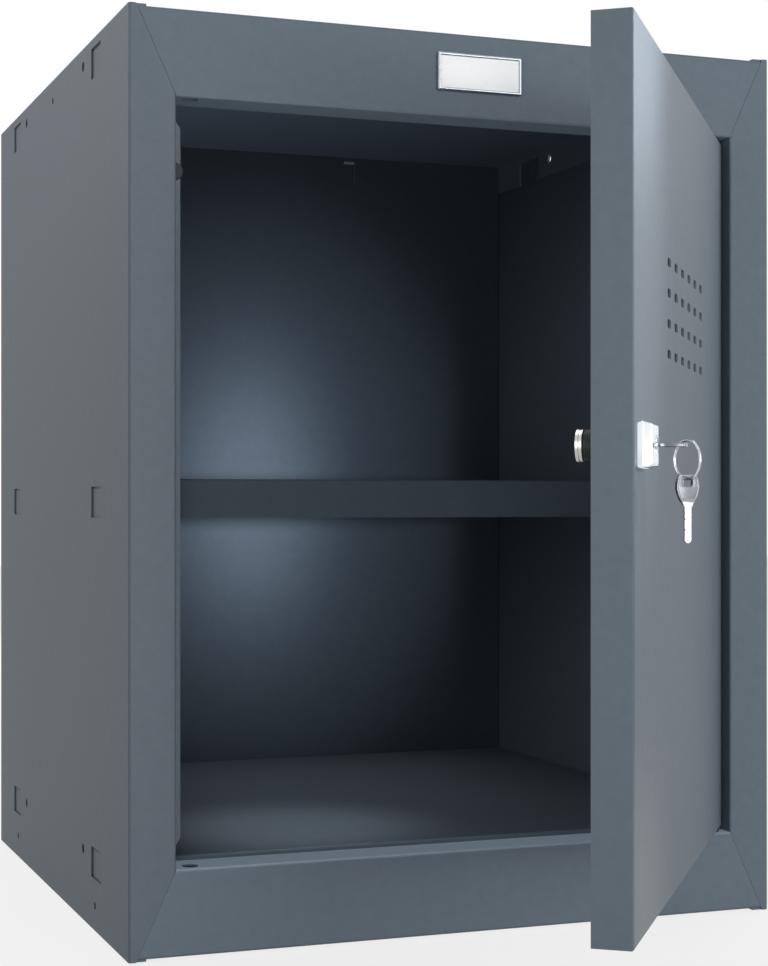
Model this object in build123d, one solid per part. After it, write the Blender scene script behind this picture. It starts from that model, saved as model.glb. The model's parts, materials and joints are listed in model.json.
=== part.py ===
from build123d import *
import math
import os

# A steel cube locker with one hinged door, one lift-out shelf and a cam lock with two keys.
# Millimetres, +Z up, origin at the middle of the base, the front faces -Y.
# The door stands open, and that is the rest pose.

# Overall size and sheet metal
width = 400.0
depth = 400.0
height = 520.0
side_sheet = 1.2
front_sheet = 1.2
tray_sheet = 1.0
back_sheet = 1.0
door_sheet = 1.0
fold_radius = 0.4
fit_gap = 0.1

# How far a cut runs past the sheet that it goes through
past = 1.0

# Front frame, the same on all four sides of the opening but for its widths
stile = 26.5
rail = 49.0
return_depth = 25.0
mitre_start = 4.0
mitre_gap = 0.2
stop_lip = 8.6
stop_lip_slant = 13.0
corner_plate_width = 40.0
corner_plate_inset = 2.0
corner_plate_clear = 3.0

# Side panel flanges and the recess behind the back panel
foot_flange = 10.0
rear_flange = 15.0
back_recess = 11.0
back_lip = 11.0

# Trays: the top, the shelf and the floor are the same folded tray
tray_drop = 22.0
shelf_above_middle = 2.4
floor_step = 2.8
shelf_setback = 6.0
shelf_back_gap = 3.0
shelf_side_gap = 0.3

# Lanced tabs: they carry the trays, and two on the back panel meet the top tray
tab_length = 25.0
tab_height = 18.0
tab_slit = 1.2
tab_joint = 0.1
tab_root = 1.5
tab_pitch = 251.0
notch_margin = 4.5
back_tab_width = 9.0
back_tab_pitch = 140.0
back_tab_slit = 2.2
back_notch_margin = 0.2

# Holes in the side panels. They and the tabs share one middle, this far behind the front
side_middle = 206.4
join_hole = 6.0
join_drop = 9.5
join_pitch = 181.5
pilot_hole = 4.4
pilot_top_drop = 12.0
pilot_low = 14.5
pilot_pitch = 245.5

# Rivets that hold the back panel to the rear flanges
rivet_hole = 3.2
rivet_head = 6.4
rivet_head_height = 0.8
rivet_count = 4
rivet_end = 60.0

# Door hinge: a pin in a plastic bush at the top and at the bottom
hinge_inset = 10.1
hinge_back = 8.8
hinge_hole = 9.4
hinge_pin = 6.0
running_gap = 0.05
bush_flange = 13.0
bush_flange_thickness = 1.3
bush_reach = 4.5
pin_collar = 9.0
pin_depth = 14.0
bracket_sheet = 2.0
bracket_width = 24.0
bracket_leg = 22.0

# Door
open_angle = 52.4
door_gap_free = 1.7
door_gap_hinge = 3.7
door_gap_top = 2.9
door_gap_bottom = 2.5
door_setback = 1.4
door_lip = 12.0
door_free_lip = 8.0
stiffener_sheet = 0.8
stiffener_foot = 10.0
stiffener_crown = 20.0
stiffener_height = 14.0
stiffener_from_free = 49.0
buffer_diameter = 9.6
buffer_thickness = 2.8
buffer_round = 0.9
buffer_gap = 0.2
buffer_below_opening = 37.3
buffer_overhang = 1.2

# Air slots in the door
slot_length = 12.0
slot_width = 4.5
slot_columns = 6
slot_rows = 4
slot_pitch_across = 25.2
slot_pitch_down = 15.2
slots_from_hinge = 167.6
slots_below_top = 122.4

# Lock
lock_from_free = 16.6
lock_above_middle = 15.2
lock_base = 21.4
lock_base_thickness = 3.0
lock_block = 20.6
lock_front = 19.0
lock_proud = 7.4
lock_corner = 1.5
barrel = 15.0
barrel_length = 25.2
barrel_nut_flats = 19.0
barrel_nut_thickness = 4.0
plug = 9.0
plug_recess = 1.0
cam_thickness = 1.7
cam_width = 12.0
cam_reach = 22.0
cam_corner = 3.0
cam_square = 6.0
cam_nut_flats = 15.0
cam_nut_thickness = 1.5
stud = 5.0
stud_end = 0.8

# Keys and their ring
key_blade_width = 3.8
key_blade_thickness = 1.3
key_blade_length = 16.1
key_tip_cut = 0.95
key_collar_width = 5.0
key_collar_length = 2.3
key_bow_length = 12.0
key_bow_top = 9.4
key_bow_width = 12.6
key_bow_waist = 7.2
key_bow_foot = 7.6
key_bow_thickness = 1.7
key_slot_width = 5.3
key_slot_length = 3.8
key_slot_round = 1.2
key_rim = 1.4
key_gap = 0.1
ring_outside = 18.6
ring_wire = 1.2
ring_turn = 43.0
ring_below_bow = 6.6
ring_in_slot = 0.15
spare_gap = 0.1

# Nameplate, left blank
plate_width = 52.9
plate_height = 22.0
plate_thickness = 2.6
plate_border = 2.4
plate_corner = 0.8
plate_edge = 0.5
plate_recess = 0.7
plate_centre = 6.7
plate_below_top = 23.7

# Places that follow from the sizes above
left = -width / 2
right = width / 2
front = -depth / 2
rear = depth / 2
top_level = height - side_sheet
floor_level = rail + floor_step
shelf_level = height / 2 + shelf_above_middle
lock_height = height / 2 + lock_above_middle
back_face = rear - back_recess
opening_top = height - rail
opening_bottom = rail
tray_front = front + return_depth
lip_face = tray_front - side_sheet
pivot_x = right - stile - hinge_inset
pivot_y = front + hinge_back
door_left = left + stile + door_gap_free
door_right = right - stile - door_gap_hinge
door_front = front + door_setback
door_back = lip_face - buffer_thickness - buffer_gap
door_top = opening_top - door_gap_top
door_bottom = opening_bottom + door_gap_bottom
lock_x = door_left + lock_from_free
bow_start = lock_proud - plug_recess + key_gap + key_collar_length
bow_end = bow_start + key_bow_length


def block(x, y, z):
    """A block between two limits on each axis."""
    size = (x[1] - x[0], y[1] - y[0], z[1] - z[0])
    middle = (sum(x) / 2, sum(y) / 2, sum(z) / 2)
    return Pos(*middle) * Box(*size)


def post(x, y, z, diameter):
    """An upright cylinder between two heights."""
    return Pos(x, y, sum(z) / 2) * Cylinder(diameter / 2, z[1] - z[0])


def cross_hole(x, y, z, diameter):
    """A cylinder along X between two limits."""
    return Pos(sum(x) / 2, y, z) * Rot(0, 90, 0) * Cylinder(diameter / 2, x[1] - x[0])


def front_prism(points, y):
    """An outline in X and Z, carried from one depth to another."""
    face = make_face(Polyline(*[(x, y[0], z) for x, z in points], close=True))
    return extrude(face, y[1] - y[0], dir=(0, 1, 0))


def folded(path, sheet):
    """The section of a folded sheet: path is one of its faces, and the sheet lies to the left of it."""
    steps = [Vector(*b) - Vector(*a) for a, b in zip(path, path[1:])]
    steps = [step.normalized() for step in steps]
    sides = [Vector(-step.Y, step.X) * sheet for step in steps]
    turns = [a.cross(b).Z for a, b in zip(steps, steps[1:])]
    other = [Vector(*path[0]) + sides[0]]
    other += [Vector(*p) + a + b for p, a, b in zip(path[1:-1], sides, sides[1:])]
    other += [Vector(*path[-1]) + sides[-1]]
    near = [fold_radius + (sheet if turn > 0 else 0) for turn in turns]
    far = [fold_radius + (sheet if turn < 0 else 0) for turn in turns]
    one = FilletPolyline(*[Vector(*p) for p in path], radius=near)
    two = FilletPolyline(*other, radius=far)
    ends = Line(path[0], other[0]) + Line(path[-1], other[-1])
    return make_face(one.edges() + two.edges() + ends.edges())


def along_x(section, x):
    """Carries a section, drawn in Y and Z, along X."""
    return extrude(Plane.YZ.offset(x[0]) * section, x[1] - x[0])


def upright(section, z):
    """Carries a section, drawn in X and Y, up Z."""
    return Pos(0, 0, z[0]) * extrude(section, z[1] - z[0])


def mirrored(shape):
    return mirror(shape, about=Plane.YZ)


def swung(shape):
    """Turns a piece of the closed door to where it stands open."""
    return Pos(pivot_x, pivot_y, 0) * Rot(0, 0, open_angle) * Pos(-pivot_x, -pivot_y, 0) * shape


def at_lock(shape):
    """Puts a piece of the lock in the door: its +Z points out of the door and its +X to the hinge."""
    seat = Plane(origin=(lock_x, door_front, lock_height), x_dir=(1, 0, 0), z_dir=(0, -1, 0))
    return swung(seat * shape)


def tab_places():
    return [front + side_middle + side * tab_pitch / 2 for side in (-1, 1)]


def tray_levels():
    return (floor_level, shelf_level, top_level)


def side_tabs():
    """The windows of the lanced tabs, and the tabs themselves, on the left side."""
    windows, tabs = [], []
    for y in tab_places():
        for level in tray_levels():
            low = level - tray_drop
            span = (y - tab_length / 2, y + tab_length / 2)
            windows.append(block((left - past, left + side_sheet + past), span, (low, low + tab_height)))
            inside = (span[0] + fit_gap, span[1] - fit_gap)
            pressed = (left + side_sheet - tab_joint, left + 2 * side_sheet - tab_joint)
            tabs.append(block(pressed, inside, (low - tab_root, low + tab_height - tab_slit)))
    return windows, tabs


def join_holes(x):
    """The four joining holes of a side, which also go through the flanges of the fixed trays."""
    return [
        cross_hole(x, front + side_middle + side * join_pitch / 2, level - join_drop, join_hole)
        for side in (-1, 1)
        for level in (floor_level, top_level)
    ]


def side_holes():
    through = (left - past, left + side_sheet + past)
    middle = front + side_middle
    pilots = [(middle, top_level - pilot_top_drop)]
    pilots += [(middle + side * pilot_pitch / 2, pilot_low) for side in (-1, 1)]
    return join_holes(through) + [cross_hole(through, y, z, pilot_hole) for y, z in pilots]


def rivet_heights():
    span = height - 2 * rivet_end
    return [rivet_end + i * span / (rivet_count - 1) for i in range(rivet_count)]


def rivet_x():
    return left + rear_flange / 2


def rear_holes():
    y = rear - side_sheet - back_sheet / 2
    bore = Rot(90, 0, 0) * Cylinder(rivet_hole / 2, side_sheet + back_sheet + 2 * past)
    return [Pos(rivet_x(), y, z) * bore for z in rivet_heights()]


def side_panel(lip):
    """The left side with its stile, its return round the opening, and the stop lip if it has one."""
    path = [(left + rear_flange, rear), (left, rear), (left, front), (left + stile, front)]
    if lip:
        path += [(left + stile, lip_face), (left + stile + stop_lip, lip_face)]
    else:
        path += [(left + stile, tray_front)]
    panel = upright(folded(path, side_sheet), (0, height))
    for z in ((0, side_sheet), (top_level, height)):
        inner = (front + side_sheet / 2, rear - side_sheet / 2)
        panel += block((left + side_sheet / 2, left + foot_flange), inner, z)
    reach = left + stile + stop_lip + past
    for end, corner, out in ((0, opening_bottom, -1), (height, opening_top, 1)):
        beyond = end + out * past
        mitre = [(left + mitre_start, beyond), (left + mitre_start, end)]
        mitre += [(left + stile, corner), (reach, corner), (reach, beyond)]
        panel -= front_prism(mitre, (front - past, tray_front + past)) - foot_space(end, out)
        slant = [(left + stile, corner), (reach, corner)]
        slant += [(reach, corner - out * stop_lip_slant * (reach - left - stile) / stop_lip)]
        panel -= front_prism(slant, (lip_face, tray_front + past))
    windows, tabs = side_tabs()
    return (panel - windows + tabs) - side_holes() - rear_holes()


def foot_space(end, out):
    """The top or bottom flange, which the mitre leaves whole."""
    z = sorted((end + out * past, end - out * side_sheet))
    return block((left, left + foot_flange + past), (front + front_sheet, rear), z)


def left_side_panel():
    return side_panel(lip=True)


def right_side_panel():
    return mirrored(side_panel(lip=False))


def frame_rail(low, high, opening_edge):
    """A rail of the front frame: its face, and a return at the opening and at its other edge."""
    path = [(tray_front, high), (front, high), (front, low), (tray_front, low)]
    bar = along_x(folded(path, front_sheet), (left + side_sheet, right - side_sheet))
    outer_edge = height if opening_edge == low else 0
    half_out = width / 2 - mitre_start - mitre_gap
    half_in = width / 2 - stile - mitre_gap
    outline = [(-half_out, outer_edge), (half_out, outer_edge)]
    outline += [(half_in, opening_edge), (-half_in, opening_edge)]
    bar &= front_prism(outline, (front - past, tray_front + past))
    for x in (-pivot_x, pivot_x):
        through = (opening_edge - front_sheet - past, opening_edge + front_sheet + past)
        bar -= post(x, pivot_y, through, hinge_hole)
    return bar


def top_rail():
    return frame_rail(opening_top, top_level, opening_top)


def bottom_rail():
    return frame_rail(side_sheet, opening_bottom, opening_bottom)


def corner_plates():
    """Four flat plates behind the mitres that tie the rails to the stiles."""
    y = (front + front_sheet, front + front_sheet + tray_sheet)
    x = (left + corner_plate_inset, left + corner_plate_inset + corner_plate_width)
    upper = (opening_top + corner_plate_clear, top_level - corner_plate_clear)
    lower = (side_sheet + corner_plate_clear, opening_bottom - corner_plate_clear)
    plates = [block(x, y, z) for z in (upper, lower)]
    return Compound(plates + [mirrored(plate) for plate in plates])


def tray(level, x, y):
    """A sheet with a flange down each side, and notches in the side flanges for the lanced tabs."""
    z = (level - tray_drop, level)
    outer = block(x, y, z)
    outer = fillet(outer.edges().group_by(Axis.Z)[-1], fold_radius + tray_sheet)
    inner_x = (x[0] + tray_sheet, x[1] - tray_sheet)
    inner_y = (y[0] + tray_sheet, y[1] - tray_sheet)
    inner = block(inner_x, inner_y, (z[0] - past, level - tray_sheet))
    inner = fillet(inner.edges().group_by(Axis.Z)[-1], fold_radius)
    folded_tray = outer - inner
    reach = tab_length / 2 + notch_margin
    notch_top = z[0] + tab_height - tab_slit
    inside = tray_sheet + fold_radius
    for place in tab_places():
        for side in ((x[0] - past, x[0] + inside), (x[1] - inside, x[1] + past)):
            folded_tray -= block(side, (place - reach, place + reach), (z[0] - past, notch_top))
    return folded_tray


def tray_width(gap):
    return (left + side_sheet + gap, right - side_sheet - gap)


def back_tab_top():
    return top_level - tray_drop + tab_height - back_tab_slit


def top_panel():
    """The top tray: its rear flange goes down behind the back panel."""
    y = (tray_front, back_face + back_sheet + tray_sheet)
    panel = tray(top_level, tray_width(fit_gap), y) - join_holes(tray_width(0))
    low = top_level - tray_drop
    behind = (back_face - past, back_face + back_sheet + tray_sheet + past)
    notch = back_tab_width / 2 + back_notch_margin
    for side in (-1, 1):
        x = side * back_tab_pitch / 2
        panel -= block((x - notch, x + notch), behind, (low - past, back_tab_top()))
        end = right - side_sheet - back_sheet - 2 * fit_gap - fold_radius
        edge = sorted((side * (right + past), side * end))
        panel -= block(edge, (back_face - fit_gap, behind[1]), (low - past, top_level - tray_sheet))
    return panel


def floor_panel():
    panel = tray(floor_level, tray_width(fit_gap), (tray_front, back_face))
    return panel - join_holes(tray_width(0))


def shelf():
    y = (tray_front + shelf_setback, back_face - shelf_back_gap)
    return tray(shelf_level, tray_width(shelf_side_gap), y)


def back_panel():
    """The back, recessed, with a lipped flange on each side and two tabs pressed to the rear."""
    x = right - side_sheet - fit_gap
    flange_end = rear - side_sheet
    path = [(x - back_lip, flange_end), (x, flange_end), (x, back_face)]
    path = [(-x + back_lip, flange_end), (-x, flange_end), (-x, back_face)] + path[::-1]
    panel = upright(folded(path, back_sheet), (side_sheet, top_level - tray_sheet - fold_radius))
    low = top_level - tray_drop
    for side in (-1, 1):
        middle = side * back_tab_pitch / 2
        span = (middle - back_tab_width / 2, middle + back_tab_width / 2)
        through = (back_face - past, back_face + back_sheet + past)
        panel -= block(span, through, (low, low + tab_height))
        pressed = (back_face + back_sheet - tab_joint, back_face + 2 * back_sheet - tab_joint)
        panel += block((span[0] + fit_gap, span[1] - fit_gap), pressed, (low - tab_root, back_tab_top()))
    holes = rear_holes()
    return panel - holes - [mirrored(hole) for hole in holes]


def back_rivets():
    """Blind rivets through the rear flanges and the back panel's lips."""
    y = (rear - side_sheet - back_sheet, rear)
    rivets = []
    for z in rivet_heights():
        shank = Pos(rivet_x(), sum(y) / 2, z) * Rot(90, 0, 0) * Cylinder(rivet_hole / 2, y[1] - y[0])
        head = Pos(rivet_x(), rear + rivet_head_height / 2, z) * Rot(90, 0, 0)
        head *= Cylinder(rivet_head / 2, rivet_head_height)
        rivets.append(shank + head)
    return Compound(rivets + [mirrored(rivet) for rivet in rivets])


def hinge_bush(opening_edge, into_door):
    """A flanged plastic bush in a rail: into_door is the direction from the rail to the door."""
    flange = sorted((opening_edge, opening_edge + into_door * bush_flange_thickness))
    body = sorted((opening_edge, opening_edge - into_door * bush_reach))
    bush = post(pivot_x, pivot_y, flange, bush_flange) + post(pivot_x, pivot_y, body, hinge_hole)
    bore = (min(flange + body) - past, max(flange + body) + past)
    return bush - post(pivot_x, pivot_y, bore, hinge_pin + 2 * running_gap)


def top_hinge_bush():
    return hinge_bush(opening_top, -1)


def bottom_hinge_bush():
    return hinge_bush(opening_bottom, 1)


def door_buffer():
    """A rubber button on the stop lip, just behind the closed door's edge."""
    x = left + stile + stop_lip + buffer_overhang - buffer_diameter / 2
    z = opening_top - buffer_below_opening
    button = Pos(x, lip_face - buffer_thickness / 2, z) * Rot(90, 0, 0)
    button *= Cylinder(buffer_diameter / 2, buffer_thickness)
    return fillet(button.edges().group_by(Axis.Y)[0], buffer_round)


def plate_box(inset, y):
    middle = height - plate_below_top
    half_width = plate_width / 2 - inset
    half_height = plate_height / 2 - inset
    x = (plate_centre - half_width, plate_centre + half_width)
    return block(x, y, (middle - half_height, middle + half_height))


def nameplate_bezel():
    """The frame round the nameplate."""
    bezel = plate_box(0, (front - plate_thickness, front))
    bezel = fillet(bezel.edges().filter_by(Axis.Y), plate_corner)
    bezel = chamfer(bezel.faces().sort_by(Axis.Y)[0].edges(), plate_edge)
    return bezel - plate_box(plate_border, (front - plate_thickness - past, front + past))


def nameplate_card():
    """The blank card in the nameplate."""
    return plate_box(plate_border, (front - plate_thickness + plate_recess, front))


def door_skin():
    """The door's face, its folded edges and the lips behind them, with the air slots and the lock's hole."""
    x = (door_left, door_right)
    y = (door_front, door_back)
    z = (door_bottom, door_top)
    outer = block(x, y, z)
    outer = fillet(outer.edges().group_by(Axis.Y)[0], fold_radius + door_sheet)
    inner_x = (x[0] + door_sheet, x[1] - door_sheet)
    inner_z = (z[0] + door_sheet, z[1] - door_sheet)
    inner = block(inner_x, (y[0] + door_sheet, y[1] - door_sheet), inner_z)
    inner = fillet(inner.edges().group_by(Axis.Y)[0], fold_radius)
    open_x = (x[0] + door_free_lip, x[1] - door_lip)
    open_z = (z[0] + door_lip, z[1] - door_lip)
    skin = outer - inner - block(open_x, (y[1] - door_sheet - past, y[1] + past), open_z)
    slot = Rot(90, 0, 0) * extrude(SlotOverall(slot_length, slot_width), door_sheet, both=True)
    for column in range(slot_columns):
        for row in range(slot_rows):
            across = slots_from_hinge + (column - (slot_columns - 1) / 2) * slot_pitch_across
            down = slots_below_top + (row - (slot_rows - 1) / 2) * slot_pitch_down
            skin -= Pos(x[1] - across, y[0] + door_sheet / 2, z[1] - down) * slot
    bore = Rot(90, 0, 0) * Cylinder(barrel / 2 + fit_gap, 2 * (door_sheet + past))
    skin -= Pos(lock_x, y[0], lock_height) * bore
    for edge in z:
        skin -= post(pivot_x, pivot_y, (edge - door_sheet - past, edge + door_sheet + past), hinge_pin)
    return swung(skin)


def door_stiffener():
    """An upright top-hat section fixed behind the door's face."""
    start = door_left + stiffener_from_free
    face = door_front + door_sheet
    crown = face + stiffener_height
    near = start + stiffener_foot
    far = near + stiffener_crown
    end = far + stiffener_foot
    path = [(start, face), (near, face), (near, crown), (far, crown), (far, face), (end, face)]
    end_gap = door_sheet + fold_radius
    return swung(upright(folded(path, stiffener_sheet), (door_bottom + end_gap, door_top - end_gap)))


def pivot_bracket(edge, inward):
    """An angle inside the door's corner that holds a hinge pin: inward points to the door's middle."""
    x_right = door_right - door_sheet - fit_gap
    x = (x_right - bracket_width, x_right)
    face = door_front + door_sheet
    flat_start = edge + inward * door_sheet
    flat = sorted((flat_start, flat_start + inward * bracket_sheet))
    leg = sorted((flat_start, flat_start + inward * bracket_leg))
    reach = door_back - door_sheet - fit_gap
    bracket = block(x, (face + fold_radius, reach), flat)
    bracket += block(x, (face, face + bracket_sheet), (leg[0], leg[1]))
    bracket = clear_of_fold(bracket, x, face, flat_start, inward)
    return swung(bracket - post(pivot_x, pivot_y, (flat[0] - past, flat[1] + past), hinge_pin))


def clear_of_fold(bracket, x, face, flat_start, inward):
    """Cuts the bracket's corner back where the door's sheet is folded."""
    cut = 2 * fold_radius
    corner = [(face, flat_start), (face + cut, flat_start), (face, flat_start + inward * cut)]
    across = along_x(make_face(Polyline(*corner, close=True)), (x[0] - past, x[1] + past))
    end = make_face(Polyline((x[1], face), (x[1] - cut, face), (x[1], face + cut), close=True))
    return bracket - across - upright(end, (door_bottom, door_top))


def top_pivot_bracket():
    return pivot_bracket(door_top, -1)


def bottom_pivot_bracket():
    return pivot_bracket(door_bottom, 1)


def hinge_pin_at(edge, outward, gap):
    """A hinge pin with a collar that keeps the door off the bush."""
    collar_end = edge + outward * (gap - bush_flange_thickness - running_gap)
    tip = edge + outward * (gap + bush_reach)
    pin = post(pivot_x, pivot_y, sorted((edge - outward * pin_depth, tip)), hinge_pin)
    return swung(pin + post(pivot_x, pivot_y, sorted((edge, collar_end)), pin_collar))


def top_hinge_pin():
    return hinge_pin_at(door_top, 1, door_gap_top)


def bottom_hinge_pin():
    return hinge_pin_at(door_bottom, -1, door_gap_bottom)


def lock_face():
    """The square front of the lock: a base plate and a block that narrows to the front."""
    base = extrude(RectangleRounded(lock_base, lock_base, lock_corner), lock_base_thickness)
    rise = lock_proud - lock_base_thickness
    taper = math.degrees(math.atan((lock_block - lock_front) / 2 / rise))
    raised = Pos(0, 0, lock_base_thickness) * extrude(Rectangle(lock_block, lock_block), rise, taper=taper)
    bore = Pos(0, 0, lock_proud / 2) * Cylinder(plug / 2 + running_gap, lock_proud + 2 * past)
    return at_lock(base + raised - bore)


def lock_barrel():
    """The threaded barrel behind the lock's front."""
    tube = Pos(0, 0, -barrel_length / 2) * Cylinder(barrel / 2, barrel_length)
    bore = Pos(0, 0, -barrel_length / 2) * Cylinder(plug / 2 + running_gap, barrel_length + 2 * past)
    return at_lock(tube - bore)


def hexagon(flats, thickness, bore, start):
    """A nut whose rear face is at start."""
    nut = extrude(RegularPolygon(flats / 2, 6, major_radius=False), thickness)
    nut -= extrude(Circle(bore / 2), thickness)
    return Pos(0, 0, start) * nut


def barrel_nut():
    start = -door_sheet - barrel_nut_thickness
    return at_lock(hexagon(barrel_nut_flats, barrel_nut_thickness, barrel, start))


def key_way():
    """The slot for the blade, in the plug."""
    mouth = lock_proud - plug_recess
    end = mouth - key_blade_length - 2 * key_gap
    z = (end, mouth + past)
    half = key_blade_width / 2 + key_gap
    side = key_blade_thickness / 2 + key_gap
    return block((-half, half), (-side, side), z)


def lock_plug():
    """The turning plug: its squared tail carries the cam and its stud the cam's nut."""
    mouth = lock_proud - plug_recess
    body = Pos(0, 0, (mouth - barrel_length) / 2) * Cylinder(plug / 2, mouth + barrel_length)
    cam_end = -barrel_length - running_gap - cam_thickness
    half = cam_square / 2
    tail = block((-half, half), (-half, half), (cam_end, -barrel_length))
    stud_z = (cam_end - cam_nut_thickness - stud_end, cam_end)
    return at_lock(body + tail + post(0, 0, stud_z, stud) - key_way())


def lock_cam():
    """The cam, pointing to the hinge side when the door is free to open."""
    start = -barrel_length - running_gap - cam_thickness
    arm = Pos(cam_reach / 2, 0) * Rectangle(cam_reach, cam_width)
    arm = fillet(arm.vertices().group_by(Axis.X)[-1], cam_corner)
    outline = Circle(cam_nut_flats / 2) + arm - Rectangle(cam_square, cam_square)
    return at_lock(Pos(0, 0, start) * extrude(outline, cam_thickness))


def cam_nut():
    start = -barrel_length - running_gap - cam_thickness - cam_nut_thickness
    return at_lock(hexagon(cam_nut_flats, cam_nut_thickness, stud, start))


def key():
    """A key with its blade down -Z and the foot of its collar at Z 0."""
    half = key_blade_width / 2
    point = -key_blade_length
    tip = half - key_tip_cut
    blade = [(-half, 0), (-half, point + key_tip_cut), (-tip, point), (tip, point)]
    blade += [(half, point + key_tip_cut), (half, 0)]
    blade = front_prism(blade, (-key_blade_thickness / 2, key_blade_thickness / 2))
    bow_y = (-key_bow_thickness / 2, key_bow_thickness / 2)
    collar = block((-key_collar_width / 2, key_collar_width / 2), bow_y, (0, key_collar_length))
    foot, head = key_collar_length, key_collar_length + key_bow_length
    waist = foot + key_bow_waist
    half_widths = ((key_bow_foot / 2, foot), (key_bow_width / 2, waist), (key_bow_top / 2, head))
    sides = [ThreePointArc(*[(side * half, z) for half, z in half_widths]) for side in (-1, 1)]
    ends = [Line((-w / 2, z), (w / 2, z)) for w, z in ((key_bow_foot, foot), (key_bow_top, head))]
    outline = make_face([line.edge() for line in sides + ends])
    slot_z = head - key_rim - key_slot_length / 2
    outline -= Pos(0, slot_z) * RectangleRounded(key_slot_width, key_slot_length, key_slot_round)
    bow = extrude(outline, key_bow_thickness / 2, both=True)
    return blade + collar + Rot(90, 0, 0) * bow


def key_in_lock():
    """The key in the lock, with its bow flat."""
    return at_lock(Pos(0, 0, lock_proud - plug_recess + key_gap) * key())


def ring_frame():
    """The place where the ring's wire passes the bow, with X along the ring's plane and Y up."""
    turn = math.radians(ring_turn)
    crossing = bow_end - key_rim - key_slot_length / 2 - ring_in_slot
    x_dir = (-math.sin(turn), 0, math.cos(turn))
    z_dir = Vector(*x_dir).cross(Vector(0, 1, 0))
    return Plane(origin=(0, 0, crossing), x_dir=x_dir, z_dir=z_dir)


def ring_centre():
    mean = (ring_outside - ring_wire) / 2
    return (math.sqrt(mean**2 - ring_below_bow**2), -ring_below_bow)


def key_ring():
    across, up = ring_centre()
    ring = Pos(across, up, 0) * Torus((ring_outside - ring_wire) / 2, ring_wire / 2)
    return at_lock(ring_frame() * ring)


def spare_key():
    """The second key, which hangs from the bottom of the ring, square to it."""
    across, up = ring_centre()
    wire = up - (ring_outside - ring_wire) / 2
    slot_top = wire + ring_wire / 2 + spare_gap
    top = slot_top + key_rim
    foot = top - key_bow_length - key_collar_length
    hung = Plane(origin=(across, foot, 0), x_dir=(0, 0, 1), z_dir=(0, 1, 0))
    return at_lock(ring_frame() * hung * key())


PARTS = (
    left_side_panel,
    right_side_panel,
    top_panel,
    floor_panel,
    back_panel,
    back_rivets,
    top_rail,
    bottom_rail,
    corner_plates,
    top_hinge_bush,
    bottom_hinge_bush,
    door_buffer,
    nameplate_bezel,
    nameplate_card,
    shelf,
    door_skin,
    door_stiffener,
    top_pivot_bracket,
    bottom_pivot_bracket,
    top_hinge_pin,
    bottom_hinge_pin,
    lock_face,
    lock_barrel,
    barrel_nut,
    lock_plug,
    lock_cam,
    cam_nut,
    key_in_lock,
    key_ring,
    spare_key,
)


def main():
    os.makedirs("parts", exist_ok=True)
    for make in PARTS:
        export_step(make(), f"parts/{make.__name__}.step")


main()
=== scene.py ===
import json
import math

import bmesh
import bpy
from mathutils import Matrix, Vector

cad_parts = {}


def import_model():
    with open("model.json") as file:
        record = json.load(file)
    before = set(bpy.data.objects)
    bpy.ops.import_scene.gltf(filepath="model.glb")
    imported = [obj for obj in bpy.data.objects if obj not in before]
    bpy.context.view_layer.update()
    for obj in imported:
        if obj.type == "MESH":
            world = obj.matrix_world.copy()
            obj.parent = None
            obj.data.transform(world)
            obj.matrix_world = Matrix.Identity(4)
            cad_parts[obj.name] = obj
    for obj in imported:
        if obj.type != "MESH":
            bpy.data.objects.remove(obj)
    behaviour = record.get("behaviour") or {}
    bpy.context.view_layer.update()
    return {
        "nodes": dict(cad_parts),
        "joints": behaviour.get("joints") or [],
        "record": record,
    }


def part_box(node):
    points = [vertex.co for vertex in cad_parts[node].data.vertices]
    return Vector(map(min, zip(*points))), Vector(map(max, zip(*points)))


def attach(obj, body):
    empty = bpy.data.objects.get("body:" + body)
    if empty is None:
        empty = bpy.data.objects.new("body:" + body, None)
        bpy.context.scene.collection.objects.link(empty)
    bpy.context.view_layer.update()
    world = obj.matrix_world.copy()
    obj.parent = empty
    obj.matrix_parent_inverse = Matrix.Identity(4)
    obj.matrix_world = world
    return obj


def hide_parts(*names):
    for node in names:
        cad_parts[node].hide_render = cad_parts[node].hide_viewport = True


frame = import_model()

# The cube locker's looks. Metres, +Z up, the front faces -Y, and the door stands open.

UP = Vector((0, 0, 1))
JOINTS = {joint["name"]: joint for joint in frame["joints"]}
MM = 0.001

# The photograph's camera, in the locker's own frame
CAMERA_PLACE = (-0.44265, -1.20501, 0.25095)
CAMERA_TURN = -19.964
CAMERA_LENS = 70.856
CAMERA_SHIFT = (0.04373, 0.01694)
CAMERA_SENSOR = 36.0


def camera():
    data = bpy.data.cameras.new("camera")
    data.lens = CAMERA_LENS
    data.sensor_width = CAMERA_SENSOR
    data.shift_x, data.shift_y = CAMERA_SHIFT
    data.clip_start, data.clip_end = 0.01, 50
    eye = bpy.data.objects.new("camera", data)
    eye.location = CAMERA_PLACE
    eye.rotation_euler = (math.radians(90), 0, math.radians(CAMERA_TURN))
    bpy.context.scene.collection.objects.link(eye)
    bpy.context.scene.camera = eye


# Lights, floor and background

# Nodes and pieces that lamps are kept to, or kept off
INSIDE = {"shelf", "back_panel", "floor_panel", "top_panel"}
BRIGHT = {"lock_front", "lock_key", "hung_key", "wire_ring", "nameplate_frame"}
REAR = {"back_panel", "right_side_panel", "top_panel", "blind_rivets", "floor"}
ALONE = {
    "left_side": "left_side_panel",
    "top_rail": "top_rail",
    "bottom_rail": "bottom_rail",
    "door": "door_skin",
    "shelf": "shelf",
    "back": "back_panel",
    "locker_floor": "floor_panel",
    "ceiling": "top_panel",
}

# How far the soft boxes stand off, and the point that they face
FAR = 2.4
MIDDLE = Vector((0, -0.1, 0.26))

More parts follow.
